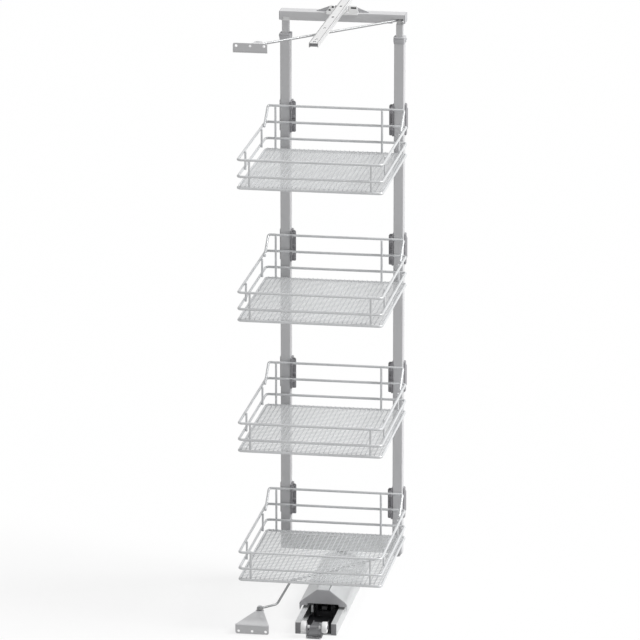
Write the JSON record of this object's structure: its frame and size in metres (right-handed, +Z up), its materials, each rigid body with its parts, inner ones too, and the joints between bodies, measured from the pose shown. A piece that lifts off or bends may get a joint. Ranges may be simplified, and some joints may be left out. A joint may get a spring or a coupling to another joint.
{
  "type": "pull out larder unit",
  "caption": "Tall pull-out larder frame with wire baskets on a floor runner, guided at the top and linked to the cabinet door by two swinging arms.",
  "frame": {"origin": "on the underside of the floor rail, in the frame's middle across the cabinet and in the plane of the baskets' back wires", "axes": "+X across the cabinet towards the door hinge side, -Y out of the cabinet towards the user, +Z up"},
  "size_m": [0.4035, 0.595, 1.6684],
  "materials": {
    "frame_paint": "satin light grey powder coat",
    "rail_steel": "pale zinc-coated sheet, satin",
    "dark_steel": "dark coated sheet, satin",
    "bright_steel": "drawn and turned steel",
    "bracket_steel": "zinc-coated pressed sheet",
    "black_plastic": "moulded, fine grain",
    "white_plastic": "moulded, smooth",
    "cover_plastic": "extruded, satin",
    "grey_plastic": "moulded, fine grain",
    "clip_plastic": "moulded, fine grain",
    "basket_wire": "satin chrome-plated wire",
    "net_wire": "satin chrome-plated fine wire"
  },
  "bodies": {
    "fixed": {"floor_rail": "rail_steel", "rail_tongue": "dark_steel", "rail_screws": "bright_steel", "rail_end_stops": "dark_steel", "front_axle": "bright_steel", "catch_housing": "black_plastic", "damper": "bright_steel", "top_guide_rail": "rail_steel", "guide_end_stops": "black_plastic"},
    "frame": {"carriage_plate": "rail_steel", "carriage_axles": "bright_steel", "runner_cover": "cover_plastic", "cover_cap": "grey_plastic", "inner_bridge": "rail_steel", "beam_spacer": "black_plastic", "cross_beam": "frame_paint", "beam_plate": "frame_paint", "beam_plate_screws": "bright_steel", "left_upright": "frame_paint", "right_upright": "frame_paint", "foot_plugs": "grey_plastic", "left_collar": "grey_plastic", "right_collar": "grey_plastic", "collar_screws": "grey_plastic", "left_inner_post": "frame_paint", "right_inner_post": "frame_paint", "post_plugs": "white_plastic", "top_beam": "frame_paint", "beam_end_caps": "grey_plastic", "hanger_plate": "frame_paint", "hanger_saddle": "rail_steel", "guide_runner": "rail_steel", "bottom_arm_pin": "bright_steel"},
    "front_rollers": {"front_rollers": "white_plastic"},
    "cage": {"ball_cage": "bracket_steel", "guide_balls": "bright_steel"},
    "mid_rollers": {"mid_rollers": "white_plastic"},
    "rear_rollers": {"rear_rollers": "white_plastic"},
    "top_arm": {"top_arm": "bright_steel"},
    "bottom_arm": {"bottom_arm": "bright_steel"},
    "top_bracket": {"top_door_bracket": "bracket_steel", "top_door_pin": "bright_steel"},
    "bottom_bracket": {"bottom_door_bracket": "bracket_steel", "bottom_door_pin": "bright_steel"},
    "clips_1": {"basket_clips_1": "clip_plastic", "clamp_screws_1": "bright_steel"},
    "basket_1": {"basket_1": "basket_wire", "basket_net_1": "net_wire"},
    "clips_2": {"basket_clips_2": "clip_plastic", "clamp_screws_2": "bright_steel"},
    "basket_2": {"basket_2": "basket_wire", "basket_net_2": "net_wire"},
    "clips_3": {"basket_clips_3": "clip_plastic", "clamp_screws_3": "bright_steel"},
    "basket_3": {"basket_3": "basket_wire", "basket_net_3": "net_wire"},
    "clips_4": {"basket_clips_4": "clip_plastic", "clamp_screws_4": "bright_steel"},
    "basket_4": {"basket_4": "basket_wire", "basket_net_4": "net_wire"}
  },
  "joints": [
    {"name": "pull_out", "type": "slide", "parent": "fixed", "child": "frame", "axis": [0, -1, 0], "range_m": [0, 0.42]},
    {"name": "front_roller_spin", "type": "hinge", "parent": "fixed", "child": "front_rollers", "pos_m": [0, -0.465, 0.0307], "axis": [1, 0, 0], "continuous": true},
    {"name": "cage_slide", "type": "slide", "parent": "fixed", "child": "cage", "axis": [0, -1, 0], "range_m": [0, 0.21]},
    {"name": "mid_roller_spin", "type": "hinge", "parent": "frame", "child": "mid_rollers", "pos_m": [0, 0.005, 0.016], "axis": [1, 0, 0], "continuous": true},
    {"name": "rear_roller_spin", "type": "hinge", "parent": "frame", "child": "rear_rollers", "pos_m": [0, 0.085, 0.016], "axis": [1, 0, 0], "continuous": true},
    {"name": "top_arm_swing", "type": "hinge", "parent": "frame", "child": "top_arm", "pos_m": [0.1585, 0.023, 1.628], "axis": [0, 0, 1], "range_deg": [0, 46]},
    {"name": "bottom_arm_swing", "type": "hinge", "parent": "frame", "child": "bottom_arm", "pos_m": [0.1585, 0.023, 0.09275], "axis": [0, 0, 1], "range_deg": [0, 46]},
    {"name": "top_bracket_swing", "type": "hinge", "parent": "top_arm", "child": "top_bracket", "pos_m": [-0.172, -0.343, 1.628], "axis": [0, 0, 1], "range_deg": [0, 57]},
    {"name": "bottom_bracket_swing", "type": "hinge", "parent": "bottom_arm", "child": "bottom_bracket", "pos_m": [-0.172, -0.343, 0.0345], "axis": [0, 0, 1], "range_deg": [0, 57]},
    {"name": "basket_height_1", "type": "slide", "parent": "frame", "child": "clips_1", "axis": [0, 0, 1], "range_m": [0, 0.1]},
    {"name": "lift_off_1", "type": "slide", "parent": "clips_1", "child": "basket_1", "axis": [0, 0, 1], "range_m": [0, 0.025]},
    {"name": "basket_height_2", "type": "slide", "parent": "frame", "child": "clips_2", "axis": [0, 0, 1], "range_m": [-0.1, 0.1]},
    {"name": "lift_off_2", "type": "slide", "parent": "clips_2", "child": "basket_2", "axis": [0, 0, 1], "range_m": [0, 0.025]},
    {"name": "basket_height_3", "type": "slide", "parent": "frame", "child": "clips_3", "axis": [0, 0, 1], "range_m": [-0.1, 0.1]},
    {"name": "lift_off_3", "type": "slide", "parent": "clips_3", "child": "basket_3", "axis": [0, 0, 1], "range_m": [0, 0.025]},
    {"name": "basket_height_4", "type": "slide", "parent": "frame", "child": "clips_4", "axis": [0, 0, 1], "range_m": [-0.1, 0.1]},
    {"name": "lift_off_4", "type": "slide", "parent": "clips_4", "child": "basket_4", "axis": [0, 0, 1], "range_m": [0, 0.025]}
  ],
  "couplings": [
    {"joint": "front_roller_spin", "follows": "pull_out", "rad_per_m": 62.5},
    {"joint": "cage_slide", "follows": "pull_out", "ratio": 0.5},
    {"joint": "mid_roller_spin", "follows": "pull_out", "rad_per_m": 72.993},
    {"joint": "rear_roller_spin", "follows": "pull_out", "rad_per_m": 72.993},
    {"joint": "top_arm_swing", "follows": "pull_out", "rad_per_m": 1.911},
    {"joint": "bottom_arm_swing", "follows": "pull_out", "rad_per_m": 1.911},
    {"joint": "top_bracket_swing", "follows": "pull_out", "rad_per_m": 2.368},
    {"joint": "bottom_bracket_swing", "follows": "pull_out", "rad_per_m": 2.368}
  ]
}
